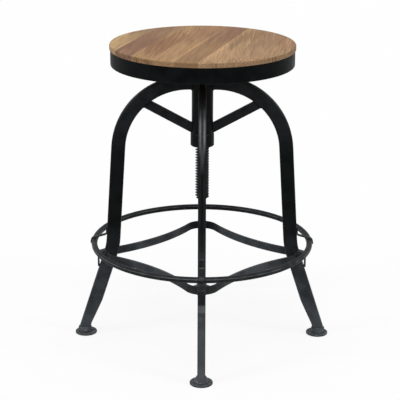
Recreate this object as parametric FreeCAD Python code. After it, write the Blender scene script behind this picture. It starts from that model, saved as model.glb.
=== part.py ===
import FreeCAD, Part
import math
import os

# Swivel bar stool: a plank seat on a lift screw, carried by four arched tube legs.
# Millimetres, +Z up. The origin lies on the floor under the middle of the screw, and +X is the stool's right.
# The seat is drawn screwed all the way down.

os.makedirs("parts", exist_ok=True)
Vector = FreeCAD.Vector
UP = Vector(0, 0, 1)
TINY = 1e-4

# Seat top
seat_height = 600.0
seat_diameter = 356.0
seat_thickness = 38.0
board_count = 8
board_angle = 17.0
rim_height = 10.0
rim_edge_radius = 3.0
rim_lower_chamfer = 1.0

# Steel band round the seat, with tabs that the wood is screwed to
band_setback = 1.6
band_thickness = 4.0
band_edge_chamfer = 0.8
band_clearance = 0.2
tab_count = 4
tab_width = 24.0
tab_length = 34.0
tab_thickness = 2.0
tab_hole_inset = 12.0

# Flange under the seat, on top of the lift screw
flange_diameter = 120.0
flange_thickness = 6.0
flange_edge_chamfer = 1.5
flange_boss_diameter = 44.0
flange_boss_length = 10.0
flange_boss_flare = 3.0
flange_screw_count = 4
flange_screw_circle = 92.0

# Wood screws, drawn with plain shanks
screw_shank_diameter = 4.5
screw_head_diameter = 9.0
screw_head_height = 2.6
flange_screw_depth = 22.0
tab_screw_depth = 16.0
screw_hole_clearance = 0.25
pilot_clearance = 0.05

# Lift screw, its nut and the hub tube that the legs are welded to
lift_screw_diameter = 27.0
lift_screw_pitch = 5.5
lift_turns = 18
lift_spare_thread = 9.0
lift_screw_chamfer = 2.5
running_clearance = 0.1
washer_thickness = 3.0
washer_diameter = 41.0
hub_diameter = 41.5
hub_bore_clearance = 1.5
hub_length = 120.0
hub_edge_chamfer = 1.0
nut_diameter = 46.0
nut_length = 25.0
nut_chamfer = 1.5

# Legs: rectangular tube, arched at the top, kneed below the foot ring and narrowed at the ankle
leg_width = 27.3
leg_thickness = 15.0
leg_corner_radius = 4.0
leg_wall = 2.0
leg_drop_from_hub_top = 19.9
shoulder_radius = 155.6
arch_bend_radius = 137.7
knee_radius = 177.3
knee_height = 189.0
knee_bend_radius = 120.0
lower_leg_splay = 18.0
ankle_width = 21.0
ankle_taper_top = 79.0
ankle_taper_bottom = 27.5
weld_gap = 0.15

# Struts from the foot of the hub up to the arches
strut_width = 18.0
strut_thickness = 8.0
strut_corner_radius = 1.2
strut_stand_off = 0.5
strut_slope = 28.4

# Foot ring of round rod, hung from each leg by a bent strap
ring_height = 199.5
ring_stand_off = 17.8
ring_rod_diameter = 11.6
hanger_width = 9.0
hanger_thickness = 2.0
hanger_top_height = 228.5
hanger_bend_height = 212.5
hanger_bend_radius = 3.0
hanger_wrap_drop = 4.5
hanger_clearance = 0.2

# Star brace of flat bars, waisted between the legs and bent at the ends to meet the legs' sides squarely
brace_height = 168.3
brace_bar_height = 16.0
brace_bar_thickness = 4.0
brace_edge_chamfer = 0.8
brace_side_radius = 365.0
brace_corner_radius = 32.0
brace_setback = 8.1

# Strap on the outside of each knee, filled in under its top and standing clear of the leg lower down
knee_strap_width = 14.5
knee_strap_thickness = 2.8
knee_strap_top = 180.0
knee_strap_slope = 16.5
knee_strap_slot_top = 166.0
knee_strap_bottom = 147.0
knee_strap_bend_radius = 3.5

# Feet: round pads with a boss that the ankle stands in, on recessed glides
pad_diameter = 43.5
pad_thickness = 3.2
pad_edge_radius = 1.2
pad_setback = 1.8
boss_height = 10.0
boss_base_diameter = 29.2
boss_base_shift = 2.4
boss_lip = 2.4
glide_diameter = 36.0
glide_stand_out = 1.0
glide_recess_depth = 1.5
glide_clearance = 0.2

# Heights and radii that follow from the sizes above
seat_radius = seat_diameter / 2
seat_bottom = seat_height - seat_thickness
rim_bottom = seat_height - rim_height
band_outer_radius = seat_radius - band_setback
band_inner_radius = band_outer_radius - band_thickness
band_bottom = seat_bottom - tab_thickness
flange_bottom = seat_bottom - flange_thickness
boss_bottom = flange_bottom - flange_boss_length
hub_top = boss_bottom - washer_thickness
hub_bottom = hub_top - hub_length
nut_bottom = hub_bottom - nut_length
lift_screw_bottom = nut_bottom - lift_turns * lift_screw_pitch - lift_spare_thread
pad_top = glide_stand_out + pad_thickness

# Corners of a leg's middle line, in the plane of the right leg
arch_height = hub_top - leg_drop_from_hub_top
hub_point = Vector(0, 0, arch_height)
shoulder = Vector(shoulder_radius, 0, arch_height)
knee = Vector(knee_radius, 0, knee_height)
sole = Vector(knee_radius + knee_height * math.tan(math.radians(lower_leg_splay)), 0, 0)
upper_leg_line = (knee, shoulder)
lower_leg_line = (sole, knee)
upper_leg_lean = math.atan2(knee.x - shoulder.x, shoulder.z - knee.z)

# Legs and what they carry, by the angle round from the right
SIDES = {"right": 0, "back": 90, "left": 180, "front": 270}
QUARTERS = {"back_right": 0, "back_left": 90, "front_left": 180, "front_right": 270}


def save(shape, name):
    """Write one piece to its own file."""
    shape.exportStep("parts/" + name + ".step")


def turned(shape, angle):
    """Copy of a shape, turned about the stool's upright axis."""
    copy = shape.copy()
    copy.rotate(Vector(), UP, angle)
    return copy


def cylinder(radius, bottom, top, middle=Vector()):
    """Upright cylinder between two heights."""
    return Part.makeCylinder(radius, top - bottom, Vector(middle.x, middle.y, bottom))


def level_edges(shape, height, nearest=0.0, farthest=math.inf):
    """Edges of a shape that lie level at a height and reach out from the axis between two radii."""
    found = []
    for edge in shape.Edges:
        box = edge.BoundBox
        reach = max(box.XMax, -box.XMin, box.YMax, -box.YMin)
        level = abs(box.ZMin - height) < TINY and abs(box.ZMax - height) < TINY
        if level and nearest < reach < farthest:
            found.append(edge)
    return found


def rectangle(width, depth):
    """Section of a flat bar: a face about the origin, with its width along X."""
    return Part.makePlane(width, depth, Vector(-width / 2, -depth / 2, 0))


def rounded_rectangle(width, depth, corner_radius):
    """Section of a bar with rounded corners."""
    core = rectangle(width - 2 * corner_radius, depth - 2 * corner_radius)
    return Part.Face(core.OuterWire.makeOffset2D(corner_radius))


def section_at(section, point, heading):
    """Copy of a section that stands square to a heading in the XZ plane."""
    across = Vector(0, 1, 0).cross(heading)
    copy = section.copy()
    copy.Placement = FreeCAD.Placement(point, FreeCAD.Rotation(across, Vector(0, 1, 0), heading, "ZYX"))
    return copy


def bent_bar(points, bend_radii, section):
    """Bar in the XZ plane, straight between its points and bent to a radius at each inner one."""
    pieces = []
    start = points[0]
    heading = (points[1] - points[0]).normalize()
    for corner, following, radius in zip(points[1:-1], points[2:], bend_radii):
        next_heading = (following - corner).normalize()
        turn = heading.getAngle(next_heading)
        trim = radius * math.tan(turn / 2)
        bend_start = corner - heading * trim
        axis = heading.cross(next_heading).normalize()
        centre = bend_start + axis.cross(heading) * radius
        pieces.append(section_at(section, start, heading).extrude(bend_start - start))
        pieces.append(section_at(section, bend_start, heading).revolve(centre, axis, math.degrees(turn)))
        start = corner + next_heading * trim
        heading = next_heading
    pieces.append(section_at(section, start, heading).extrude(points[-1] - start))
    return pieces[0].fuse(pieces[1:])


def beside(line, height, offset):
    """Point beside a leg's middle line, level with a height on it, outward where the offset is positive."""
    low, high = line
    on_line = low + (high - low) * ((height - low.z) / (high.z - low.z))
    outward = Vector(high.z - low.z, 0, low.x - high.x).normalize()
    return on_line + outward * offset


def screw_places(count, radius):
    """Points on a circle, midway between the board direction and its cross direction."""
    places = []
    for index in range(count):
        angle = math.radians(360 / count * (index + 0.5) - board_angle)
        places.append(Vector(radius * math.cos(angle), radius * math.sin(angle), 0))
    return places


flange_screw_places = screw_places(flange_screw_count, flange_screw_circle / 2)
tab_screw_places = screw_places(tab_count, band_inner_radius - tab_length + tab_hole_inset)


def wood_screw(head_seat, tip):
    """Screw driven upwards: a domed head under its seat, a plain shank and a pointed tip."""
    shank = screw_shank_diameter / 2
    head = screw_head_diameter / 2
    neck = tip - screw_shank_diameter
    dome_middle = Vector(head * math.sin(math.pi / 4), 0, head_seat - screw_head_height * math.cos(math.pi / 4))
    dome = Part.Arc(Vector(0, 0, head_seat - screw_head_height), dome_middle, Vector(head, 0, head_seat))
    outline = Part.makePolygon([
        Vector(head, 0, head_seat),
        Vector(shank, 0, head_seat),
        Vector(shank, 0, neck),
        Vector(0, 0, tip),
        Vector(0, 0, head_seat - screw_head_height),
    ])
    profile = Part.Face(Part.Wire([dome.toShape()] + outline.Edges))
    return profile.revolve(Vector(), UP, 360)


def screw_group(places, head_seat, tip):
    """One screw at each place, kept as separate solids."""
    screws = []
    for place in places:
        screw = wood_screw(head_seat, tip)
        screw.translate(place)
        screws.append(screw)
    return Part.makeCompound(screws)


def seat_boards():
    """Boards of the seat: a disc with a rebated rim, bored for the screws and sawn into strips."""
    rebate_radius = band_inner_radius - band_clearance
    disc = cylinder(seat_radius, rim_bottom, seat_height)
    disc = disc.makeFillet(rim_edge_radius, level_edges(disc, seat_height))
    disc = disc.makeChamfer(rim_lower_chamfer, level_edges(disc, rim_bottom))
    disc = disc.fuse(cylinder(rebate_radius, seat_bottom, rim_bottom)).removeSplitter()
    pilot_radius = screw_shank_diameter / 2 + pilot_clearance
    for places, depth in ((flange_screw_places, flange_screw_depth), (tab_screw_places, tab_screw_depth)):
        for place in places:
            disc = disc.cut(cylinder(pilot_radius, seat_bottom, seat_bottom + depth, place))
    board_width = seat_diameter / board_count
    boards = []
    for index in range(board_count):
        corner = Vector(index * board_width - seat_radius, -seat_radius, seat_bottom)
        strip = Part.makeBox(board_width, seat_diameter, seat_thickness, corner)
        boards.append(disc.common(turned(strip, -board_angle)))
    return boards


def seat_band():
    """Hoop of flat bar that the rim of the wood overhangs."""
    hoop = cylinder(band_outer_radius, band_bottom, rim_bottom)
    hoop = hoop.cut(cylinder(band_inner_radius, band_bottom, rim_bottom))
    middle = (band_inner_radius + band_outer_radius) / 2
    outer_edges = level_edges(hoop, band_bottom, middle) + level_edges(hoop, rim_bottom, middle)
    return hoop.makeChamfer(band_edge_chamfer, outer_edges)


def band_tab(place):
    """Tab welded inside the band's lower edge, round-ended, with a hole for its screw."""
    outward = math.degrees(math.atan2(place.y, place.x))
    end_middle = place.Length - tab_hole_inset + tab_width / 2
    strip = Part.makeBox(
        band_inner_radius - end_middle, tab_width, tab_thickness, Vector(end_middle, -tab_width / 2, band_bottom)
    )
    tab = strip.fuse(cylinder(tab_width / 2, band_bottom, seat_bottom, Vector(end_middle, 0, 0))).removeSplitter()
    tab = tab.common(cylinder(band_inner_radius - weld_gap, band_bottom, seat_bottom))
    hole_radius = screw_shank_diameter / 2 + screw_hole_clearance
    return turned(tab, outward).cut(cylinder(hole_radius, band_bottom, seat_bottom, place))


def seat_flange():
    """Turned flange under the seat, with a boss that lands on the washer."""
    boss_radius = flange_boss_diameter / 2
    flange = cylinder(flange_diameter / 2, flange_bottom, seat_bottom)
    flange = flange.makeChamfer(flange_edge_chamfer, level_edges(flange, flange_bottom))
    flange = flange.fuse(cylinder(boss_radius, boss_bottom, flange_bottom))
    root = level_edges(flange, flange_bottom, 0, boss_radius + TINY)
    flange = flange.makeChamfer(flange_boss_flare, root)
    flange = flange.cut(cylinder(lift_screw_diameter / 2 + weld_gap, boss_bottom, seat_bottom))
    hole_radius = screw_shank_diameter / 2 + screw_hole_clearance
    for place in flange_screw_places:
        flange = flange.cut(cylinder(hole_radius, flange_bottom, seat_bottom, place))
    return flange


def lift_screw():
    """Screw that the seat turns on, drawn at its crest diameter, chamfered at the lower end."""
    rod = cylinder(lift_screw_diameter / 2, lift_screw_bottom, seat_bottom)
    return rod.makeChamfer(lift_screw_chamfer, level_edges(rod, lift_screw_bottom))


def thrust_washer():
    """Loose washer between the hub and the flange boss."""
    bore = lift_screw_diameter / 2 + hub_bore_clearance
    return cylinder(washer_diameter / 2, hub_top, boss_bottom).cut(cylinder(bore, hub_top, boss_bottom))


def hub_tube():
    """Tube in the middle of the frame, with room for the screw to pass."""
    tube = cylinder(hub_diameter / 2, hub_bottom, hub_top)
    tube = tube.makeChamfer(hub_edge_chamfer, level_edges(tube, hub_top))
    return tube.cut(cylinder(lift_screw_diameter / 2 + hub_bore_clearance, hub_bottom, hub_top))


def hub_nut():
    """Round nut welded under the hub tube, which the screw turns in."""
    nut = cylinder(nut_diameter / 2, nut_bottom, hub_bottom)
    nut = nut.makeChamfer(nut_chamfer, level_edges(nut, nut_bottom) + level_edges(nut, hub_bottom))
    return nut.cut(cylinder(lift_screw_diameter / 2 + running_clearance, nut_bottom, hub_bottom))


def leg_outside(margin):
    """Outer form of the right leg down to the top of its pad, grown by a margin all round."""
    section = rounded_rectangle(leg_width + 2 * margin, leg_thickness + 2 * margin, leg_corner_radius + margin)
    leg = bent_bar([hub_point, shoulder, knee, sole], [arch_bend_radius, knee_bend_radius], section)
    leg_edge = -leg_width / 2 - margin
    ankle_edge = leg_width / 2 - ankle_width - margin
    taper = Part.makePolygon([
        beside(lower_leg_line, ankle_taper_top, leg_edge),
        beside(lower_leg_line, ankle_taper_bottom, ankle_edge),
        beside(lower_leg_line, -leg_width, ankle_edge),
        beside(lower_leg_line, -leg_width, -leg_width),
        beside(lower_leg_line, ankle_taper_top, -leg_width),
        beside(lower_leg_line, ankle_taper_top, leg_edge),
    ])
    waste = Part.Face(taper).extrude(Vector(0, 2 * leg_thickness, 0))
    waste.translate(Vector(0, -leg_thickness, 0))
    below = cylinder(2 * leg_width, -leg_width, pad_top, sole)
    return leg.cut(waste).cut(below)


def leg():
    """Right leg: a bent tube, open at the hub end and solid from the ankle down."""
    inner_width = leg_width - 2 * leg_wall
    inner_thickness = leg_thickness - 2 * leg_wall
    section = rounded_rectangle(inner_width, inner_thickness, leg_corner_radius - leg_wall)
    hollow_end = beside(lower_leg_line, ankle_taper_top + leg_wall, 0)
    hollow = bent_bar([hub_point, shoulder, knee, hollow_end], [arch_bend_radius, knee_bend_radius], section)
    coped = cylinder(hub_diameter / 2 + weld_gap, hub_bottom, hub_top)
    return leg_outside(0).cut(hollow).cut(coped)


def strut():
    """Flat strut from the hub to the underside of the arch, coped to both."""
    slope = math.radians(strut_slope)
    lower_edge = hub_bottom + strut_stand_off - hub_diameter / 2 * math.tan(slope)
    start = Vector(0, 0, lower_edge + strut_width / 2 / math.cos(slope))
    end = start + Vector(math.cos(slope), 0, math.sin(slope)) * (2 * arch_bend_radius)
    bar = bent_bar([start, end], [], rounded_rectangle(strut_width, strut_thickness, strut_corner_radius))
    bar = bar.cut(cylinder(hub_diameter / 2 + weld_gap, nut_bottom, hub_top))
    arch_start = shoulder.x - arch_bend_radius * math.tan((math.pi / 2 - upper_leg_lean) / 2)
    arch_centre = Vector(arch_start, -strut_thickness, arch_height - arch_bend_radius)
    inside_radius = arch_bend_radius - leg_width / 2 - weld_gap
    inside = Part.makeCylinder(inside_radius, 2 * strut_thickness, arch_centre, Vector(0, 1, 0))
    return bar.common(inside)


def ring_radius():
    """Radius of the ring's middle line, which stands off the legs' outer faces."""
    leg_face = beside(upper_leg_line, ring_height, 0).x + leg_width / 2 / math.cos(upper_leg_lean)
    return leg_face + ring_stand_off + ring_rod_diameter / 2


def foot_ring():
    """Closed ring of round rod."""
    return Part.makeTorus(ring_radius(), ring_rod_diameter / 2, Vector(0, 0, ring_height))


def ring_hanger():
    """Strap welded down the leg's outer face, bent out and hooked over the ring."""
    wrap_radius = ring_rod_diameter / 2 + hanger_clearance + hanger_thickness / 2
    face_offset = leg_width / 2 + hanger_thickness / 2
    top = beside(upper_leg_line, hanger_top_height, face_offset)
    bend = beside(upper_leg_line, hanger_bend_height, face_offset)
    to_ring = Vector(ring_radius(), 0, ring_height) - bend
    slope = math.atan2(to_ring.z, to_ring.x) + math.asin(wrap_radius / to_ring.Length)
    outermost = ring_radius() + wrap_radius
    over = Vector(outermost, 0, bend.z + (outermost - bend.x) * math.tan(slope))
    end = Vector(outermost, 0, ring_height - hanger_wrap_drop)
    section = rectangle(hanger_thickness, hanger_width)
    return bent_bar([top, bend, over, end], [hanger_bend_radius, wrap_radius], section)


def lower_leg_face(height):
    """Distance of the lower leg's outer face from the axis at a height."""
    return beside(lower_leg_line, height, 0).x + leg_width / 2 / math.cos(math.radians(lower_leg_splay))


def knee_strap():
    """Strap that slopes out of the right knee, turns down and lands on the lower leg's outer face."""
    half = knee_strap_thickness / 2
    reach = lower_leg_face(knee_strap_bottom) + weld_gap + half
    fall = math.tan(math.radians(knee_strap_slope))
    face = Vector(lower_leg_face(knee_strap_top), 0, knee_strap_top - half)
    start = face + Vector(-1, 0, fall) * (leg_width / 2)
    bend = face + Vector(1, 0, -fall) * (reach - face.x)
    end = Vector(reach, 0, knee_strap_bottom)
    section = rectangle(knee_strap_thickness, knee_strap_width)
    strap = bent_bar([start, bend, end], [knee_strap_bend_radius], section)
    slot_end = Vector(reach, 0, knee_strap_slot_top)
    slot_start = Vector(start.x, 0, knee_strap_slot_top)
    filling = Part.Face(Part.makePolygon([start, bend, slot_end, slot_start, start]))
    filling.translate(Vector(0, -knee_strap_width / 2, 0))
    strap = strap.fuse(filling.extrude(Vector(0, knee_strap_width, 0))).removeSplitter()
    return strap.cut(leg_outside(weld_gap))


def brace_bar():
    """Quarter of the star brace, from the side of the right leg to the side of the back one."""
    half = brace_bar_thickness / 2
    bottom = brace_height - brace_bar_height / 2
    corner_x = lower_leg_face(brace_height) - brace_setback - half - brace_corner_radius
    corner_centre = Vector(corner_x, 0, 0)
    reach = brace_side_radius + brace_corner_radius
    side_centre = Vector(1, 1, 0) * ((corner_x + math.sqrt(2 * reach ** 2 - corner_x ** 2)) / 2)
    to_side = (side_centre - corner_centre).normalize()
    half_turn = math.atan2(to_side.y, to_side.x) / 2
    corner_middle = Vector(math.cos(half_turn), math.sin(half_turn), 0)
    to_waist = Vector(-1, -1, 0).normalize()

    def face_edges(offset):
        corner_radius = brace_corner_radius + offset
        start = corner_centre + Vector(corner_radius, 0, 0)
        middle = corner_centre + corner_middle * corner_radius
        end = corner_centre + to_side * corner_radius
        waist = side_centre + to_waist * (brace_side_radius - offset)
        points = [start, middle, end]
        mirrored = [Vector(p.y, p.x, 0) for p in reversed(points)]
        arcs = [Part.Arc(*points), Part.Arc(end, waist, mirrored[0]), Part.Arc(*mirrored)]
        return [arc.toShape() for arc in arcs], start, mirrored[-1]

    outer, outer_start, outer_end = face_edges(half)
    inner, inner_start, inner_end = face_edges(-half)
    ends = [Part.makeLine(outer_start, inner_start), Part.makeLine(outer_end, inner_end)]
    outline = Part.Wire(Part.sortEdges(outer + inner + ends)[0])
    bar = Part.Face(outline).extrude(UP * brace_bar_height)
    bar.translate(UP * bottom)
    edges = level_edges(bar, bottom) + level_edges(bar, bottom + brace_bar_height)
    bar = bar.makeChamfer(brace_edge_chamfer, [edge for edge in edges if edge.Length > 2 * brace_bar_thickness])
    right_leg = leg_outside(weld_gap)
    return bar.cut(right_leg).cut(turned(right_leg, SIDES["back"]))


def foot_middle():
    """Middle of the right pad, on the floor."""
    shift = (leg_width - ankle_width) / 2
    ankle = beside(lower_leg_line, pad_top + boss_height, shift)
    return Vector(ankle.x - pad_setback, 0, 0)


def foot():
    """Right foot: a round pad with a boss that flares from the ankle, bored for the leg and recessed below."""
    middle = foot_middle()
    pad = cylinder(pad_diameter / 2, glide_stand_out, pad_top)
    pad = pad.makeFillet(pad_edge_radius, level_edges(pad, pad_top))
    recess_radius = glide_diameter / 2 + glide_clearance
    pad = pad.cut(cylinder(recess_radius, glide_stand_out, glide_stand_out + glide_recess_depth))
    pad.translate(middle)
    base = Part.Circle(middle + Vector(boss_base_shift, 0, pad_top), UP, boss_base_diameter / 2)
    boss_top = middle + Vector(pad_setback, 0, pad_top + boss_height)
    lip = Part.Ellipse(boss_top, ankle_width / 2 + boss_lip, leg_thickness / 2 + boss_lip)
    boss = Part.makeLoft([Part.Wire(base.toShape()), Part.Wire(lip.toShape())], True, True)
    return pad.fuse(boss).cut(leg_outside(weld_gap))


def foot_glide():
    """Pad of hard plastic in the recess under the right foot."""
    return cylinder(glide_diameter / 2, 0, glide_stand_out + glide_recess_depth, foot_middle())


# Frame
save(hub_tube(), "hub_tube")
save(hub_nut(), "hub_nut")
save(foot_ring(), "foot_ring")
for piece, make in {
    "leg": leg,
    "strut": strut,
    "ring_hanger": ring_hanger,
    "knee_strap": knee_strap,
    "foot": foot,
    "foot_glide": foot_glide,
}.items():
    right_piece = make()
    for side, angle in SIDES.items():
        save(turned(right_piece, angle), piece + "_" + side)
right_bar = brace_bar()
for quarter, angle in QUARTERS.items():
    save(turned(right_bar, angle), "brace_bar_" + quarter)

# Seat, with the washer that it turns on
save(thrust_washer(), "thrust_washer")
save(lift_screw(), "lift_screw")
save(seat_flange(), "seat_flange")
save(screw_group(flange_screw_places, flange_bottom, seat_bottom + flange_screw_depth), "flange_screws")
save(seat_band(), "seat_band")
for number, place in enumerate(tab_screw_places, start=1):
    save(band_tab(place), "band_tab_" + str(number))
save(screw_group(tab_screw_places, band_bottom, seat_bottom + tab_screw_depth), "tab_screws")
for number, board in enumerate(seat_boards(), start=1):
    save(board, "seat_board_" + str(number))
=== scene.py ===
import math
import bmesh
import bpy
from mathutils import Matrix, Vector
from mathutils.bvhtree import BVHTree


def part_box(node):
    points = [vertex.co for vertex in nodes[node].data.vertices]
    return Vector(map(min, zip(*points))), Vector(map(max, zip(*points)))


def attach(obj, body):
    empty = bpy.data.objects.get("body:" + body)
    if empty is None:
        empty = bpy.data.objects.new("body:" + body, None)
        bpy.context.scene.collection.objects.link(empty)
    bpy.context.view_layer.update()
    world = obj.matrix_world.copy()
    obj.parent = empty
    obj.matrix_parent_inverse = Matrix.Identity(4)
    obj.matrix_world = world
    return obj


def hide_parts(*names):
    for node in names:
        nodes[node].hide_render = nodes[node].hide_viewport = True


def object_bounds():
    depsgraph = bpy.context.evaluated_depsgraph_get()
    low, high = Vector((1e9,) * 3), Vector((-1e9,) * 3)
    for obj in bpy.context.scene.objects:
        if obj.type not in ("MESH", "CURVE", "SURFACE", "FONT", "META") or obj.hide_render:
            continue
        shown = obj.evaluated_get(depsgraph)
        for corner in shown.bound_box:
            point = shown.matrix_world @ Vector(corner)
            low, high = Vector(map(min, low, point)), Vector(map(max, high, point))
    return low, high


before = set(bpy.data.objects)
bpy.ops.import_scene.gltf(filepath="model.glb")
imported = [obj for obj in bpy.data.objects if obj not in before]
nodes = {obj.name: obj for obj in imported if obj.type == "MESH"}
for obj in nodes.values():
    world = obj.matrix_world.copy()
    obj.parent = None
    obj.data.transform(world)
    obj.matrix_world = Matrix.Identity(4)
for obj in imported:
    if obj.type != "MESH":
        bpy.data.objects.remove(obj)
cad_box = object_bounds()

# Hub: a length of round steel tube with a turned nut welded under it, powder-coated satin black.
# It holds the four legs together, and the lift screw turns inside it.
# The weld between tube and nut is left as it ran and coated over.
hair = 1e-7
crisp_corner = math.radians(40)
# Heights over which the coat greys lower down: partly shoe wear and floor dust, partly painted light thrown up from
# the floor.
shoe_height = 0.29
well_worn_height = 0.18
ankle_height = 0.1
# Heights over which the painted shadow of the seat sets in on the frame.
seat_shade_start = 0.475
seat_shade_full = 0.515
edge_wear_reach = 0.0011
nut_weld_radius = 0.0007
nut_weld_steps = 240


class Shade:
    """One output of a material's nodes. Arithmetic on it adds the Math nodes that work it out."""

    def __init__(self, socket):
        self.socket = socket

    def node(self, kind, settings=None, sockets=None, output=0):
        """Adds a node to the same material: its settings first, then the values or links of its sockets."""
        tree = self.socket.id_data
        made = tree.nodes.new("ShaderNode" + kind)
        for name, value in (settings or {}).items():
            setattr(made, name, value)
        for name, value in (sockets or {}).items():
            if isinstance(value, Shade):
                tree.links.new(value.socket, made.inputs[name])
            else:
                made.inputs[name].default_value = value
        return Shade(made.outputs[output]) if made.outputs else None

    def math(self, operation, *values):
        return self.node("Math", {"operation": operation}, dict(enumerate(values)))

    def __abs__(self):
        return self.math("ABSOLUTE", self)

    def __add__(self, other):
        return self.math("ADD", self, other)

    def __sub__(self, other):
        return self.math("SUBTRACT", self, other)

    def __rsub__(self, other):
        return self.math("SUBTRACT", other, self)

    def __mul__(self, other):
        return self.math("MULTIPLY", self, other)

    def __truediv__(self, other):
        return self.math("DIVIDE", self, other)

    __radd__ = __add__
    __rmul__ = __mul__


def new_material(name):
    """A material with nothing in it yet, and the place on the piece that its pattern follows."""
    material = bpy.data.materials.new(name)
    material.use_nodes = True
    tree = material.node_tree
    tree.nodes.clear()
    return material, Shade(tree.nodes.new("ShaderNodeTexCoord").outputs["Object"])


def paint(place, sockets):
    """Closes a material with one surface shader."""
    surface = place.node("BsdfPrincipled", sockets=sockets)
    place.node("OutputMaterial", sockets={"Surface": surface})


def colour(red, green, blue):
    """A colour as a paint card gives it, 0 to 255, in the linear light that a shader works in."""
    shares = [level / 255 for level in (red, green, blue)]
    linear = [s / 12.92 if s <= 0.04045 else ((s + 0.055) / 1.055) ** 2.4 for s in shares]
    return (*linear, 1)


def toned(tone, share):
    """A colour of the paint card, made darker or lighter by a share."""
    return colour(*(share * level for level in tone))


def part(vector, axis):
    """One of the three parts of a place or a direction."""
    return vector.node("SeparateXYZ", {}, {0: vector}, output=axis)


def facing(place):
    """Direction that the surface faces."""
    return place.node("NewGeometry", output="Normal")


def noise(place, scale, detail=2.0, stretch=(1, 1, 1)):
    """Cloudy pattern from 0 to 1. The scale is in clouds to the metre."""
    sizes = [scale * share for share in stretch]
    stretched = place.node("VectorMath", {"operation": "MULTIPLY"}, {0: place, 1: sizes})
    return place.node("TexNoise", sockets={"Vector": stretched, "Scale": 1.0, "Detail": detail})


def step(value, low, high):
    """Smooth step from 0 at the low value to 1 at the high one."""
    sockets = {"Value": value, "From Min": low, "From Max": high}
    return value.node("MapRange", {"interpolation_type": "SMOOTHSTEP"}, sockets)


def mix(share, first, second):
    """Mix of two colours."""
    return share.node("Mix", {"data_type": "RGBA"}, {0: share, 6: first, 7: second}, output=2)


def bump(height, depth, below=None):
    """Normal of a surface that rises by a depth where the height goes from 0 to 1."""
    sockets = {"Height": height, "Distance": depth}
    if below:
        sockets["Normal"] = below
    return height.node("Bump", sockets=sockets)


def worn_edges(place, reach):
    """Near 1 along a piece's edges and 0 on its flats."""
    rounded = place.node("Bevel", {"samples": 4}, {"Radius": reach})
    directions = {0: rounded, 1: facing(place)}
    square = place.node("VectorMath", {"operation": "DOT_PRODUCT"}, directions, output="Value")
    return step(1 - square, 0.01, 0.2)


def black_coat(name, gloss=0.05, lower_grey_share=1.0, dust_and_sheen=1.0, dull_from=shoe_height, dull_below=well_worn_height,
               undercoat=None, marks=None):
    """Satin black powder coat over steel. Its upper sides take settled dust and a painted top-light sheen, held back
    by a painted seat shadow; its edges grey partly with wear, partly as a painted highlight; lower down it greys
    partly with shoe wear and floor dust, partly as painted light from the floor.
    A piece may tone the coat before it wears, and put its own marks on it afterwards."""
    material, place = new_material(name)
    black, soft_black = colour(6, 8, 9), colour(15, 17, 18)
    dull_grey, dull_pale = toned((40, 43, 46), lower_grey_share), toned((58, 61, 64), lower_grey_share)
    scuff_grey, floor_dust_and_light = colour(72, 75, 77), colour(74, 78, 81)
    high_dust_and_sheen, low_dust_and_sheen = colour(76, 79, 81), colour(100, 103, 105)
    edge_wear_and_highlight_grey = colour(78, 80, 82)
    height = part(place, "Z")
    upward = step(part(facing(place), "Z"), 0.06, 0.7)
    cloud = step(noise(place, 34, 6), 0.34, 0.66)
    patchy = step(noise(place, 44, 4), 0.3, 0.62)
    scuff = step(noise(place, 60, 6), 0.46, 0.8)
    peel = noise(place, 900, 1)
    grit = noise(place, 4200, 2)
    edge = worn_edges(place, edge_wear_reach) * step(noise(place, 140, 4), 0.3, 0.6)
    lower_wear_and_light = step(height, dull_from, dull_below)
    dust_and_floor_light = step(height, ankle_height, 0)
    # Painted shadow of the seat over the top of the frame.
    seat_shade = step(height, seat_shade_start, seat_shade_full)
    coat = mix(cloud, black, soft_black)
    if undercoat:
        coat = undercoat(coat, place, patchy)
    # Lower down the coat greys, and more near the floor: partly shoe wear and floor dust, partly painted light from
    # the white floor.
    worn_and_lit = mix(cloud, dull_grey, dull_pale)
    worn_and_lit = mix(scuff * 0.4, worn_and_lit, scuff_grey)
    worn_and_lit = mix(dust_and_floor_light * 0.6, worn_and_lit, floor_dust_and_light)
    coat = mix(lower_wear_and_light, coat, worn_and_lit)
    # Upward sides take settled dust and a painted top-light sheen, held back under the seat by the painted seat
    # shadow.
    dust_and_top_sheen = upward * (0.3 + patchy * 0.25) * (1 - seat_shade * 0.85) * dust_and_sheen
    coat = mix(dust_and_top_sheen, coat, mix(lower_wear_and_light, high_dust_and_sheen, low_dust_and_sheen))
    # Edges greyed partly by wear, partly as a painted edge highlight.
    coat = mix(edge * (0.3 + lower_wear_and_light * 0.3), coat, edge_wear_and_highlight_grey)
    if marks:
        coat = marks(coat, place, patchy)
    paint(place, {
        "Base Color": coat,
        "Roughness": 0.38 + cloud * 0.14 + scuff * 0.1 - edge * 0.06,
        "Specular IOR Level": gloss,
        "Normal": bump(grit, 0.00003, bump(peel, 0.00012)),
    })
    return material


def finish(node, material):
    """Gives a piece that came with the frame its finish."""
    nodes[node].material_slots[0].material = material


def skin(form, rings, closed=False):
    """Adds faces through rings of as many points each, capped at both ends unless they close on themselves."""
    made = [[form.verts.new(point) for point in ring] for ring in rings]
    pairs = list(zip(made, made[1:] + made[:1] if closed else made[1:]))
    for low, high in pairs:
        for here in range(len(low)):
            form.faces.new((low[here - 1], low[here], high[here], high[here - 1]))
    if not closed:
        form.faces.new(reversed(made[0]))
        form.faces.new(made[-1])


def make_piece(name, form, material, body):
    """Closes a form into a smooth piece with crisp corners that rides on a body."""
    bmesh.ops.remove_doubles(form, verts=form.verts, dist=hair)
    bmesh.ops.recalc_face_normals(form, faces=form.faces)
    mesh = bpy.data.meshes.new(name)
    form.to_mesh(mesh)
    form.free()
    mesh.shade_smooth()
    mesh.set_sharp_from_angle(angle=crisp_corner)
    mesh.materials.append(material)
    piece = bpy.data.objects.new(name, mesh)
    bpy.context.scene.collection.objects.link(piece)
    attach(piece, body)
    return piece


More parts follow.
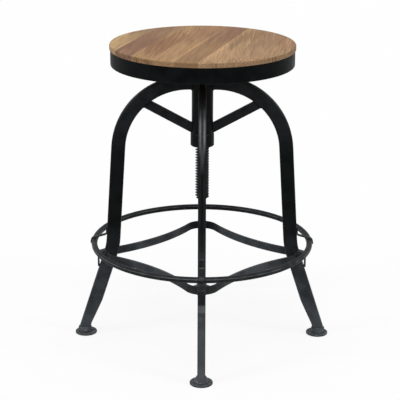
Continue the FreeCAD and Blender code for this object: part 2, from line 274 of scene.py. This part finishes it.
def weld_bead(name, path, radius, closed=True, material=None):
    """Bead of weld along a path, with the ripples that the torch leaves. An open bead tapers at both ends."""
    sides = 10
    ripple_length = 0.0018
    ripple_height = 0.14
    end_taper = 3
    askew = Vector((0.31, 0.53, 0.79))
    turns = [math.tau * side / sides for side in range(sides)]
    last = len(path) - 1
    run = 0.0
    rings = []
    for index, point in enumerate(path):
        before = path[index - 1] if index or closed else point
        after = path[(index + 1) % len(path)] if index < last or closed else point
        heading = (after - before).normalized()
        across = heading.cross(askew).normalized()
        outward = heading.cross(across)
        run += (point - before).length
        size = radius * (1 + ripple_height * math.sin(math.tau * run / ripple_length))
        if not closed and index in (0, last):
            size = radius / end_taper
        rings.append([point + (across * math.cos(turn) + outward * math.sin(turn)) * size for turn in turns])
    form = bmesh.new()
    skin(form, rings, closed)
    make_piece(name, form, material or frame_black, "frame")


frame_black = black_coat("frame_black")
hub_black = black_coat("hub_black", dust_and_sheen=0.4)
finish("hub_tube", hub_black)
finish("hub_nut", hub_black)
hub_low, hub_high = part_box("hub_tube")
hub_radius = hub_high.x
nut_weld_path = []
for index in range(nut_weld_steps):
    turn = math.tau * index / nut_weld_steps
    nut_weld_path.append(Vector((hub_radius * math.cos(turn), hub_radius * math.sin(turn), hub_low.z)))
weld_bead("nut_weld", nut_weld_path, nut_weld_radius)

# Legs: four rectangular steel tubes, each arched out from the hub and kneed below the foot ring.
# They are bent, welded to the hub all round and coated black with the rest of the frame.
# The coat carries painted light: greyer on the side legs' arches where they come out of the seat's shade, and
# painted highlights on the bends of the other two.
SIDES = {"right": 0, "back": 90, "left": 180, "front": 270}
leg_width = 0.0273
leg_corner = 0.004
leg_weld_radius = 0.0016
weld_spacing = 0.00045


def rounded_outline(width, height, corner, spacing):
    """Points round a rectangle with rounded corners, about evenly spaced, about its middle."""
    right = width / 2 - corner
    top = height / 2 - corner
    corner_steps = max(2, round(corner * math.pi / 2 / spacing))
    points = []
    for quarter, (x, y) in enumerate(((right, top), (-right, top), (-right, -top), (right, -top))):
        for index in range(corner_steps + 1):
            turn = math.pi / 2 * (quarter + index / corner_steps)
            points.append(Vector((x + corner * math.cos(turn), y + corner * math.sin(turn))))
    outline = []
    for start, end in zip(points, points[1:] + points[:1]):
        steps = max(1, round((end - start).length / spacing))
        outline += [start.lerp(end, index / steps) for index in range(steps)]
    return outline


def turned(path, angle):
    """A path on the right-hand side, turned about the stool's upright axis."""
    turn = Matrix.Rotation(math.radians(angle), 3, "Z")
    return [turn @ point for point in path]


def band(value, start, full, fade, end):
    """Smooth band: 1 from the full value to the fading one, and 0 before the start and after the end."""
    return step(value, start, full) * step(value, end, fade)


def painted_lit_arch(coat, place, patchy):
    """Painted light on the arch of a leg: greyer lower down it, out of the seat's shade."""
    arch = band(part(place, "Z"), 0.36, 0.46, 0.5, 0.55)
    return mix(arch * (0.4 + patchy * 0.6) * 0.85, coat, colour(36, 38, 40))


def painted_highlight_leg(coat, place, patchy):
    """Painted highlights on a leg: two lines along it, brightest over its bend, and a painted sheen on the flat
    below that; on the outside of the knee, a painted glint band with a darker band under it."""
    height = part(place, "Z")
    aside = abs(part(place, "X"))
    outside = step(abs(part(facing(place), "Y")), 0.5, 0.85)
    lower_wear_and_light = step(height, shoe_height, well_worn_height)
    lines = band(aside, 0.0010, 0.0034, 0.0044, 0.0068)
    bend = band(height, 0.42, 0.468, 0.476, 0.506)
    flat = band(height, 0.385, 0.42, 0.43, 0.455) * step(aside, 0.005, 0.001)
    glint_band = band(height, 0.131, 0.134, 0.146, 0.149) * outside
    darker_band = band(height, 0.123, 0.126, 0.1295, 0.132) * outside
    coat = mix(lines * (0.05 + patchy * 0.12) * (1 - lower_wear_and_light), coat, colour(64, 67, 69))
    coat = mix(lines * bend * (0.5 + patchy * 0.4), coat, colour(122, 124, 126))
    coat = mix(flat * (0.2 + patchy * 0.3), coat, colour(80, 82, 84))
    coat = mix(glint_band * (0.3 + patchy * 0.3), coat, colour(98, 101, 103))
    return mix(darker_band * 0.45, coat, colour(40, 43, 45))


leg_low, leg_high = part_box("leg_right")
leg_thickness = leg_high.y - leg_low.y
leg_middle = leg_high.z - leg_width / 2
leg_weld_path = []
for y, z in rounded_outline(leg_thickness, leg_width, leg_corner, weld_spacing):
    leg_weld_path.append(Vector((math.sqrt(hub_radius ** 2 - y ** 2), y, leg_middle + z)))
# Side legs carry a painted lit arch; front and back legs carry painted highlights.
leg_black = black_coat("leg_black", lower_grey_share=0.95, dull_from=0.255, dull_below=0.1, undercoat=painted_lit_arch)
highlit_black = black_coat("highlit_black", marks=painted_highlight_leg)
for side, angle in SIDES.items():
    finish("leg_" + side, highlit_black if side in ("front", "back") else leg_black)
    weld_bead("leg_weld_" + side, turned(leg_weld_path, angle), leg_weld_radius)

# Struts: flat bars that rise from the foot of the hub to the underside of each arch.
# They are cut to the hub's round and the leg's inside, welded all round at both ends and coated black.
strut_width = 0.018
strut_corner = 0.0012
strut_slope = math.radians(28.4)
strut_weld_radius = 0.0012


def surface_of(node):
    """Surface of a piece of the frame, to find where a line meets it."""
    mesh = nodes[node].data
    return BVHTree.FromPolygons([v.co for v in mesh.vertices], [face.vertices for face in mesh.polygons])


hub_surface = surface_of("hub_tube")
leg_surface = surface_of("leg_right")
strut_low, strut_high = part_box("strut_right")
strut_thickness = strut_high.y - strut_low.y
strut_along = Vector((math.cos(strut_slope), 0, math.sin(strut_slope)))
strut_across = Vector((-math.sin(strut_slope), 0, math.cos(strut_slope)))
strut_foot = Vector((hub_radius, 0, strut_low.z + strut_width / 2 / math.cos(strut_slope)))
strut_middle = strut_foot + strut_along * (strut_high.x - hub_radius) / 2
strut_hub_path = []
strut_leg_path = []
for y, w in rounded_outline(strut_thickness, strut_width, strut_corner, weld_spacing):
    start = strut_middle + strut_across * w + Vector((0, y, 0))
    strut_hub_path.append(hub_surface.ray_cast(start, -strut_along)[0])
    strut_leg_path.append(leg_surface.ray_cast(start, strut_along)[0])
for side, angle in SIDES.items():
    finish("strut_" + side, leg_black)
    weld_bead("strut_hub_weld_" + side, turned(strut_hub_path, angle), strut_weld_radius)
    weld_bead("strut_leg_weld_" + side, turned(strut_leg_path, angle), strut_weld_radius)

# Foot ring: round rod rolled to a hoop, coated black, with a painted highlight along its upper side.
# A strap bent from flat bar is welded down each leg and hooked over the rod to carry it.
hanger_bend_height = 0.2125
hanger_weld_radius = 0.0008
hanger_weld_length = 0.011


def painted_highlight_line(coat, place, patchy):
    """A painted highlight line along the upper side of a rod."""
    highlight_band = band(part(facing(place), "Z"), 0.3, 0.4, 0.48, 0.58)
    return mix(highlight_band * (0.02 + patchy * 0.42), coat, colour(132, 135, 137))


def painted_bend_glint(coat, place, patchy):
    """Painted glint on the outside of a strap's bends, brightest at the bend next to the leg."""
    turning = band(part(facing(place), "Z"), 0.1, 0.35, 0.7, 0.92)
    off_bend = abs(part(place, "Z") - hanger_bend_height)
    at_bend = 0.25 + step(off_bend, 0.008, 0.005) * 0.75
    return mix(turning * at_bend * (0.4 + patchy * 0.3), coat, colour(112, 115, 117))


def on_leg_face(y, z):
    """Point on the outer face of the right leg."""
    beyond = Vector((leg_high.x, y, z))
    return leg_surface.ray_cast(beyond, Vector((-1, 0, 0)))[0]


def straight_run(start, end):
    """Points from one place on the leg's face to another, as (y, z)."""
    steps = round((Vector(end) - Vector(start)).length / weld_spacing)
    return [on_leg_face(*Vector(start).lerp(Vector(end), index / steps)) for index in range(steps)]


finish("foot_ring", black_coat("ring_black", lower_grey_share=0.6, dust_and_sheen=0.12, marks=painted_highlight_line))
hanger_low, hanger_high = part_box("ring_hanger_right")
hanger_top = hanger_high.z
hanger_foot = hanger_top - hanger_weld_length
hanger_weld_path = straight_run((hanger_low.y, hanger_foot), (hanger_low.y, hanger_top))
hanger_weld_path += straight_run((hanger_low.y, hanger_top), (hanger_high.y, hanger_top))
hanger_weld_path += straight_run((hanger_high.y, hanger_top), (hanger_high.y, hanger_foot))
hanger_black = black_coat("hanger_black", lower_grey_share=0.6, dust_and_sheen=0.14, marks=painted_bend_glint)
# The hangers' weld beads carry a stronger painted top-light sheen.
bead_grey = black_coat("bead_grey", lower_grey_share=0.6, dust_and_sheen=1.8)
for side, angle in SIDES.items():
    finish("ring_hanger_" + side, hanger_black)
    weld_bead("hanger_weld_" + side, turned(hanger_weld_path, angle), hanger_weld_radius, False, bead_grey)

# Star brace: four flat steel bars, waisted between the legs, with ends that bend in to the legs' sides.
# Each end is welded all round to the flat side of its leg, and the bars are coated black with the frame.
brace_thickness = 0.0042
brace_corner = 0.0008
brace_weld_radius = 0.0010


def painted_shade_ends(coat, place, patchy):
    """Painted shade on the ends of a brace bar, darker near the legs."""
    across, back = part(place, "X"), part(place, "Y")
    squared = across * across + back * back
    leg_shade = step(squared.math("SQRT", squared), 0.14, 0.175)
    return mix(leg_shade * 0.65, coat, colour(22, 24, 26))


brace_low, brace_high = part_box("brace_bar_back_right")
brace_middle = (brace_low.z + brace_high.z) / 2
brace_weld_path = []
for x, z in rounded_outline(brace_thickness, brace_high.z - brace_low.z, brace_corner, weld_spacing):
    brace_weld_path.append(Vector((brace_high.x - brace_thickness / 2 + x, leg_high.y, brace_middle + z)))
mirrored_path = [Vector((point.x, -point.y, point.z)) for point in brace_weld_path]
brace_black = black_coat("brace_black", lower_grey_share=1.15, marks=painted_shade_ends)
brace_weld_black = black_coat("brace_weld_black", lower_grey_share=0.6, dust_and_sheen=0.3)
for quarter in ("back_right", "back_left", "front_left", "front_right"):
    finish("brace_bar_" + quarter, brace_black)
for side, angle in SIDES.items():
    for number, path in enumerate((brace_weld_path, mirrored_path), start=1):
        bead_name = f"brace_weld_{side}_{number}"
        weld_bead(bead_name, turned(path, angle), brace_weld_radius, True, brace_weld_black)

# Knee straps: short straps bent from thin flat bar, one standing off the outside of each knee.
# The upper end is filled in under the bend and welded to the leg all round, and the lower end along its edge.
knee_filling_bottom = 0.166
knee_strap_corner = 0.0004
knee_weld_radius = 0.0007
knee_low, knee_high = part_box("knee_strap_right")
knee_strap_width = knee_high.y - knee_low.y
knee_top_height = knee_high.z - knee_filling_bottom
knee_top_middle = knee_filling_bottom + knee_top_height / 2
knee_top_path = []
for y, z in rounded_outline(knee_strap_width, knee_top_height, knee_strap_corner, weld_spacing):
    knee_top_path.append(on_leg_face(y, knee_top_middle + z))
knee_foot_path = straight_run((knee_low.y, knee_low.z), (knee_high.y, knee_low.z))
# The knee straps' coat is toned darker, as painted shade under the ring above them.
knee_black = black_coat("knee_black", lower_grey_share=0.6, dust_and_sheen=0.6)
for side, angle in SIDES.items():
    finish("knee_strap_" + side, knee_black)
    weld_bead("knee_top_weld_" + side, turned(knee_top_path, angle), knee_weld_radius)
    weld_bead("knee_foot_weld_" + side, turned(knee_foot_path, angle), knee_weld_radius, closed=False)

# Feet: round steel pads, each with a flared boss that the ankle of the leg is welded into, coated black.
# The glide under each is a disc of hard nylon pressed into a recess.
foot_pad_thickness = 0.0032
foot_crease_rise = 0.0012
foot_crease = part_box("foot_right")[0].z + foot_pad_thickness + foot_crease_rise


def scuffed_and_shaded_foot(coat, place, patchy):
    """Light scuffs all over a foot, a darker rim round its pad, and painted shade in the crease round its boss."""
    height = part(place, "Z")
    kicked = step(noise(place, 190, 3), 0.5, 0.64)
    rim = step(part(facing(place), "Z"), 0.5, 0.1) * step(height, foot_crease - 0.0004, foot_crease - 0.0016)
    # Painted shade in the crease where the boss meets the pad.
    crease_shade = step(abs(height - foot_crease), 0.0014, 0.0003)
    coat = mix(kicked * 0.42, coat, colour(118, 121, 123))
    coat = mix(rim * 0.55, coat, colour(26, 28, 30))
    return mix(crease_shade * 0.7, coat, colour(30, 32, 34))


def moulded_nylon(name, tone, worn_tone):
    """Hard nylon: dull, faintly mottled, and scratched where it slides."""
    material, place = new_material(name)
    mottle = noise(place, 240, 4)
    scratch = step(noise(place, 500, 3, (1, 0.05, 1)), 0.55, 0.7)
    body = mix(mottle * 0.6, tone, worn_tone)
    paint(place, {
        "Base Color": mix(scratch * 0.5, body, worn_tone),
        "Roughness": 0.48 + mottle * 0.15 + scratch * 0.1,
        "Normal": bump(mottle - scratch * 0.4, 0.00008),
    })
    return material


glide_nylon = moulded_nylon("glide_nylon", colour(30, 30, 31), colour(62, 62, 61))
foot_black = black_coat("foot_black", lower_grey_share=0.9, dust_and_sheen=0.4, marks=scuffed_and_shaded_foot)
for side in SIDES:
    finish("foot_" + side, foot_black)
    finish("foot_glide_" + side, glide_nylon)

# Thrust washer: a loose nylon ring between the top of the hub and the boss of the seat's flange.
# The lowered seat turns on it, and it stays on the hub when the seat goes up.
finish("thrust_washer", moulded_nylon("washer_nylon", colour(26, 26, 27), colour(56, 56, 55)))

# Lift screw: a turned steel screw with a coarse thread, blackened and oiled.
# Its top is welded into the seat's flange, and it climbs through the nut as the seat is turned.
screw_low, screw_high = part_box("lift_screw")
screw_radius = screw_high.x
screw_pitch = 0.0055
screw_thread_depth = 0.0036
screw_chamfer = 0.0025
screw_turn_steps = 72
crest_wear_reach = 0.0007
THREAD_SHARES = (
    (0.0, 0.0), (0.24, 0.0), (0.34, 0.12), (0.41, 0.45), (0.48, 1.0),
    (0.6, 1.0), (0.67, 0.45), (0.74, 0.12), (0.84, 0.0),
)


def thread_profile(crest, depth, pitch):
    """One turn of thread as height and radius: a wide root, and a crest between two hollow flanks."""
    return [(height * pitch, crest - depth + rise * depth) for height, rise in THREAD_SHARES]


def threaded_rod(form, crest, depth, pitch, low, high, chamfer, turn_steps):
    """Adds a right-handed threaded rod about the upright axis, chamfered at both ends."""
    profile = thread_profile(crest, depth, pitch)
    turns = math.ceil((high - low) / pitch) + 1
    columns = []
    for turn_step in range(turn_steps):
        share = turn_step / turn_steps
        heading = Vector((math.cos(math.tau * share), math.sin(math.tau * share), 0))
        column = []
        for turn in range(-1, turns):
            for height, radius in profile:
                z = min(max(low + (turn + share) * pitch + height, low), high)
                bevel = crest - chamfer + min(z - low, high - z)
                column.append(form.verts.new(heading * min(radius, bevel) + Vector((0, 0, z))))
        columns.append(column)
    columns.append(columns[0][len(profile):])
    for here, there in zip(columns, columns[1:]):
        for row in range(min(len(here), len(there)) - 1):
            form.faces.new((here[row], there[row], there[row + 1], here[row + 1]))
    bmesh.ops.remove_doubles(form, verts=form.verts, dist=hair)
    bmesh.ops.dissolve_degenerate(form, edges=form.edges, dist=hair)
    open_edges = [edge for edge in form.edges if edge.is_boundary]
    bmesh.ops.holes_fill(form, edges=open_edges)


def oiled_steel(name):
    """Blackened steel, rubbed bright on the crests of its thread."""
    material, place = new_material(name)
    cloud = noise(place, 60, 4)
    drawn = noise(place, 900, 2, (0.05, 0.05, 1))
    edge = worn_edges(place, crest_wear_reach) * step(noise(place, 220, 3), 0.35, 0.65)
    steel = mix(cloud, colour(6, 7, 8), colour(16, 17, 18))
    paint(place, {
        "Base Color": mix(edge * 0.2, steel, colour(66, 66, 66)),
        "Metallic": edge * 0.2,
        "Roughness": 0.34 + cloud * 0.16,
        "Specular IOR Level": 0.06,
        "Normal": bump(drawn, 0.00004),
    })
    return material


screw_form = bmesh.new()
threaded_rod(screw_form, screw_radius, screw_thread_depth, screw_pitch, screw_low.z, screw_high.z,
             screw_chamfer, screw_turn_steps)
screw_steel = oiled_steel("lift_screw_steel")
lift_screw = make_piece("lift_screw_threaded", screw_form, screw_steel, "seat")
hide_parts("lift_screw")

# Seat flange: a turned steel disc with a boss, welded on top of the lift screw and coated black.
# Four round-headed wood screws, zinc plated with a cross recess, hold it up against the boards.
board_turn = math.radians(17)
flange_screw_count = 4
head_radius = 0.0045
head_height = 0.0026
DOME_SHARES = (0, 0.08, 0.3, 0.55, 0.78, 0.92, 1)
recess_arm = 0.0026
recess_width = 0.0006
recess_depth = 0.0016
recess_floor_share = 0.55
shank_radius = 0.00225
shank_pitch = 0.0018
shank_root, shank_rise = 0.8, 0.2
shank_steps = 6
tip_taper = 12
screw_points = 48


def zinc_plate(name):
    """Bright zinc on a small steel screw, with a faint yellow cast and dull patches."""
    material, place = new_material(name)
    cloud = noise(place, 700, 4)
    paint(place, {
        "Base Color": mix(cloud, colour(150, 148, 140), colour(196, 194, 186)),
        "Metallic": 1.0,
        "Roughness": 0.26 + cloud * 0.2,
        "Normal": bump(noise(place, 2600, 2), 0.00003),
    })
    return material


def recess_reach(turn):
    """How far the cross recess reaches from the middle of the head in a direction."""
    least = 1e-6
    c, s = max(abs(math.cos(turn)), least), max(abs(math.sin(turn)), least)
    return max(min(recess_arm / c, recess_width / s), min(recess_arm / s, recess_width / c))


def wood_screw(form, place, seat_height, tip_height):
    """Adds one screw driven upwards, from the floor of its recess to its tip."""
    turns = [math.tau * index / screw_points for index in range(screw_points)]
    recess = [recess_reach(turn) for turn in turns]
    lowest = seat_height - head_height

    def ring(radii, heights):
        spots = []
        for turn, radius, height in zip(turns, radii, heights):
            spots.append(place + Vector((radius * math.cos(turn), radius * math.sin(turn), height)))
        return spots

    def dome(radius):
        return lowest + head_height * (1 - math.sqrt(max(0, 1 - (radius / head_radius) ** 2)))

    rings = [ring([r * recess_floor_share for r in recess], [lowest + recess_depth] * screw_points)]
    for share in DOME_SHARES:
        radii = [r + (head_radius - r) * share for r in recess]
        rings.append(ring(radii, [dome(radius) for radius in radii]))
    neck = tip_height - 2 * shank_radius
    rows = math.ceil((neck - seat_height) / shank_pitch * shank_steps)
    for row in range(rows + 1):
        height = seat_height + (neck - seat_height) * row / rows
        phase = [(row / shank_steps - turn / math.tau) % 1 for turn in turns]
        ridges = [shank_root + shank_rise * abs(2 * share - 1) for share in phase]
        rings.append(ring([shank_radius * ridge for ridge in ridges], [height] * screw_points))
    rings.append(ring([shank_radius / tip_taper] * screw_points, [tip_height] * screw_points))
    skin(form, rings)


def wood_screws(node, name, count):
    """Replaces a group of screws, set on a circle midway between the grain and the way across it."""
    low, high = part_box(node)
    first = math.pi / count - board_turn
    circle = (high.x - head_radius) / math.cos(first)
    form = bmesh.new()
    for index in range(count):
        turn = first + math.tau * index / count
        place = Vector((circle * math.cos(turn), circle * math.sin(turn), 0))
        wood_screw(form, place, low.z + head_height, high.z)
    piece = make_piece(name, form, screw_zinc, "seat")
    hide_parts(node)


seat_black = black_coat("seat_black", gloss=0.03)
finish("seat_flange", seat_black)
screw_zinc = zinc_plate("screw_zinc")
wood_screws("flange_screws", "flange_screws_driven", flange_screw_count)

# Seat band: a hoop of flat steel bar under the overhanging rim of the boards, coated black.
# Four round-ended tabs are welded inside its lower edge, each screwed up into the wood.
band_tab_count = 4
finish("seat_band", seat_black)
for number in range(1, band_tab_count + 1):
    finish(f"band_tab_{number}", seat_black)
wood_screws("tab_screws", "tab_screws_driven", band_tab_count)

# Seat boards: eight planks of a warm brown hardwood, glued edge to edge, turned round and sanded.
# The planks come from different logs, so each has its own tone and figure under a rubbed-in oil.
seat_top = cad_box[1].z
board_width = 0.0445
first_edge = -0.178
ring_width = 0.0052
log_shift_across, log_shift_along = 0.7, 1.3
rim_wear_reach = 0.002
BOARDS = (
    {"pale": (187, 155, 113), "dark": (151, 122, 92), "heart": -0.150, "depth": 0.060, "slant": 0.10,
     "dark_at": 0.10},
    {"pale": (149, 118, 91), "dark": (127, 96, 74), "heart": -0.122, "depth": 0.030, "slant": 0.10,
     "dark_at": -0.06, "blush": 0.3},
    {"pale": (170, 137, 99), "dark": (138, 103, 74), "heart": -0.030, "depth": 0.075, "slant": 0.16,
     "dark_at": -0.01, "blush": 0.15},
    {"pale": (170, 135, 98), "dark": (149, 116, 86), "heart": -0.018, "depth": 0.050, "slant": 0.12,
     "dark_at": 0.11, "blush": 0.2, "right_sap": 0.008},
    {"pale": (156, 122, 86), "dark": (134, 103, 79), "heart": 0.040, "depth": 0.090, "slant": 0.08,
     "dark_at": 0.11, "blush": 0.35},
    {"pale": (181, 146, 110), "dark": (143, 114, 83), "heart": 0.086, "depth": 0.035, "slant": 0.20,
     "dark_at": 0.09, "left_sap": 0.016},
    {"pale": (172, 138, 104), "dark": (150, 120, 91), "heart": 0.108, "depth": 0.028, "slant": 0.20,
     "dark_at": 0.06, "curl": 0.5},
    {"pale": (169, 136, 102), "dark": (145, 114, 86), "heart": 0.190, "depth": 0.055, "slant": 0.15,
     "dark_at": 0.12, "blush": 0.3},
)


def plank_wood(name, number, pale, dark, heart, depth, slant, dark_at,
               blush=0.0, left_sap=0.0, right_sap=0.0, curl=0.0):
    """One plank: growth rings about a heart below it, fibres and pores along it, and a darker place in it.
    It may be ruddy there, have pale sapwood down an edge, or curl at its front end."""
    material, place = new_material(name)
    board = place.node("Mapping", {}, {"Vector": place, "Rotation": (0, 0, board_turn)})
    across, along, up = (part(board, axis) for axis in "XYZ")
    slanted = across + along * slant
    own_log = {0: slanted + log_shift_across * number, 1: along + log_shift_along * number, 2: up}
    patch = place.node("CombineXYZ", {}, own_log)

    def grain(clouds_across, clouds_along, detail):
        """Pattern drawn out along the plank, in clouds to the metre each way."""
        return noise(patch, 1, detail, (clouds_across, clouds_along, clouds_across))

    sway = grain(14, 5, 3) - 0.5
    flank = slanted + sway * 0.02 - heart
    below = up - (seat_top - depth)
    spread = flank * flank + below * below
    rings = spread.math("SQRT", spread) / ring_width + grain(60, 6, 2) * 0.7
    season = rings.math("FRACT", rings)
    late = step(season, 0.35, 0.9) - step(season, 0.93, 1.0)
    fibre = grain(700, 16, 4)
    streak = step(grain(340, 12, 4), 0.52, 0.66)
    flame = step(grain(230, 9, 4), 0.55, 0.7)
    pore = step(grain(1100, 60, 2), 0.6, 0.72)
    drifts = grain(26, 5, 3)
    wander = grain(110, 8, 3) - 0.5
    darker = step(abs(along + wander * 0.4 - dark_at), 0.18, 0)
    wood = mix(step(darker * 0.45 + drifts * 0.65, 0.26, 0.84), colour(*pale), colour(*dark))
    red, green, blue = dark
    ruddy = colour(1.04 * red, 0.9 * green, 0.98 * blue)
    wood = mix(darker * blush, wood, ruddy)
    for joint, width in ((number - 1, left_sap), (number, right_sap)):
        if width:
            inward = abs(across - (first_edge + joint * board_width))
            sapwood = step(inward + wander * width, width, width * 0.3) * step(along, 0.16, -0.1)
            wood = mix(sapwood * 0.75, wood, toned(pale, 1.12))
    wood = mix(late * 0.3, wood, toned(dark, 0.94))
    wood = mix(flame * 0.5, wood, toned(pale, 1.12))
    wood = mix(streak * 0.6, wood, toned(dark, 0.78))
    wood = mix(step(fibre, 0.45, 0.8) * 0.45, wood, toned(dark, 0.74))
    wood = mix(pore * 0.4, wood, toned(dark, 0.55))
    if curl:
        ripple = step(grain(360, 75, 2), 0.42, 0.58)
        curled = step(along, -0.06, -0.12) * step(slanted, 0.05, 0.07) * curl
        wood = mix(curled * ripple, wood, toned(dark, 0.8))
        wood = mix(curled * (1 - ripple) * 0.6, wood, toned(pale, 1.2))
    # The planks' sides are darker: partly end grain that takes up more oil, partly painted shade on the sides.
    end_grain_and_side_shade = step(part(facing(place), "Z"), 0.9, 0.3)
    ticks = step(noise(place, 1, 1, (420, 420, 30)), 0.5, 0.6) * step(noise(place, 14, 2), 0.5, 0.6)
    wood = mix(end_grain_and_side_shade * 0.42, wood, toned(dark, 0.74))
    wood = mix(end_grain_and_side_shade * ticks * 0.6, wood, toned(dark, 0.5))
    # The rim's top edge is lighter: partly worn, partly a painted highlight along the rounding.
    worn_and_lit = worn_edges(place, rim_wear_reach) * step(noise(place, 120, 3), 0.35, 0.6)
    wood = mix(worn_and_lit * 0.4, wood, colour(202, 162, 122))
    paint(place, {
        "Base Color": wood,
        "Roughness": 0.56 + fibre * 0.14 + pore * 0.12,
        "Specular IOR Level": 0.08,
        "Normal": bump(1 - pore, 0.00012, bump(fibre + late * 0.5, 0.00007)),
    })
    return material


for number, board in enumerate(BOARDS, start=1):
    finish(f"seat_board_{number}", plank_wood(f"plank_wood_{number}", number, **board))

# Floor: plain white studio paper laid flat, lit by a soft lamp above and a narrower one at each side.
# The camera and the metal see it and the room as white, with a little of the stool's shadow left on it.
floor_half = 9.0
floor_gap = 0.0002
paper_grey = (0.86, 0.86, 0.86, 1)
paper_pale = (0.9, 0.9, 0.9, 1)
paper_white = 0.85
room_light = 0.42
plain_white = (1, 1, 1, 1)


def seen(place):
    """1 where the camera looks, straight on or by way of a mirror or glass, and 0 for light on its way."""
    direct, glossy, through = (
        place.node("LightPath", output=f"Is {ray} Ray") for ray in ("Camera", "Glossy", "Transmission")
    )
    return direct.math("MAXIMUM", direct, glossy.math("MAXIMUM", glossy, through))


def lamp(name, azimuth, elevation, strength, spread):
    """Soft distant lamp, seen from the stool at an azimuth round from the right and an elevation, in degrees."""
    light = bpy.data.lights.new(name, "SUN")
    light.energy = strength
    light.angle = math.radians(spread)
    holder = bpy.data.objects.new(name, light)
    flat = math.cos(math.radians(elevation))
    turn = math.radians(azimuth)
    toward = Vector((flat * math.cos(turn), flat * math.sin(turn), math.sin(math.radians(elevation))))
    holder.rotation_euler = toward.to_track_quat("Z", "Y").to_euler()
    bpy.context.scene.collection.objects.link(holder)


floor_mesh = bpy.data.meshes.new("floor")
floor_corners = [(x * floor_half, y * floor_half, -floor_gap) for x, y in ((-1, -1), (1, -1), (1, 1), (-1, 1))]
floor_mesh.from_pydata(floor_corners, [], [(0, 1, 2, 3)])
floor = bpy.data.objects.new("floor", floor_mesh)
bpy.context.scene.collection.objects.link(floor)
paper, place = new_material("studio_paper")
paper_tone = mix(noise(place, 3, 4), paper_grey, paper_pale)
sheet = place.node("BsdfPrincipled", sockets={"Base Color": paper_tone, "Roughness": 0.9, "Specular IOR Level": 0.0})
white = place.node("Emission", sockets={"Strength": 1.0})
paper_surface = place.node("MixShader", sockets={0: seen(place) * paper_white, 1: sheet, 2: white})
place.node("OutputMaterial", sockets={"Surface": paper_surface})
floor_mesh.materials.append(paper)
lamp("left_lamp", azimuth=203, elevation=28, strength=1.0, spread=16)
lamp("right_lamp", azimuth=337, elevation=28, strength=0.9, spread=16)
lamp("top_lamp", azimuth=270, elevation=78, strength=1.2, spread=45)
world = bpy.data.worlds.new("studio")
world.use_nodes = True
world.node_tree.nodes.clear()
place = Shade(world.node_tree.nodes.new("ShaderNodeTexCoord").outputs["Generated"])
room = place.node("Background", sockets={"Color": plain_white, "Strength": room_light})
backdrop = place.node("Background", sockets={"Color": plain_white, "Strength": 1.0})
surroundings = place.node("MixShader", sockets={0: seen(place), 1: room, 2: backdrop})
place.node("OutputWorld", sockets={"Surface": surroundings})
bpy.context.scene.world = world
bpy.context.scene.view_settings.view_transform = "Standard"

# Camera: a long lens two and a half metres in front of the stool, half a metre above its lowered seat.
# It looks a little down on the stool, with the slight turn and roll of a camera set up by eye.
camera_place = (0.0, -2.5, 1.107)
camera_pitch = math.radians(18.2)
camera_turn = math.radians(0.092)
camera_roll = math.radians(0.23)
camera_data = bpy.data.cameras.new("camera")
camera_data.sensor_width = 36.0
camera_data.lens = 119.75
camera_data.clip_end = 100.0
camera = bpy.data.objects.new("camera", camera_data)
camera.location = camera_place
level_view = Matrix.Rotation(camera_turn, 3, "Z") @ Matrix.Rotation(math.pi / 2 - camera_pitch, 3, "X")
camera.rotation_euler = (level_view @ Matrix.Rotation(camera_roll, 3, "Z")).to_euler()
bpy.context.scene.collection.objects.link(camera)
bpy.context.scene.camera = camera
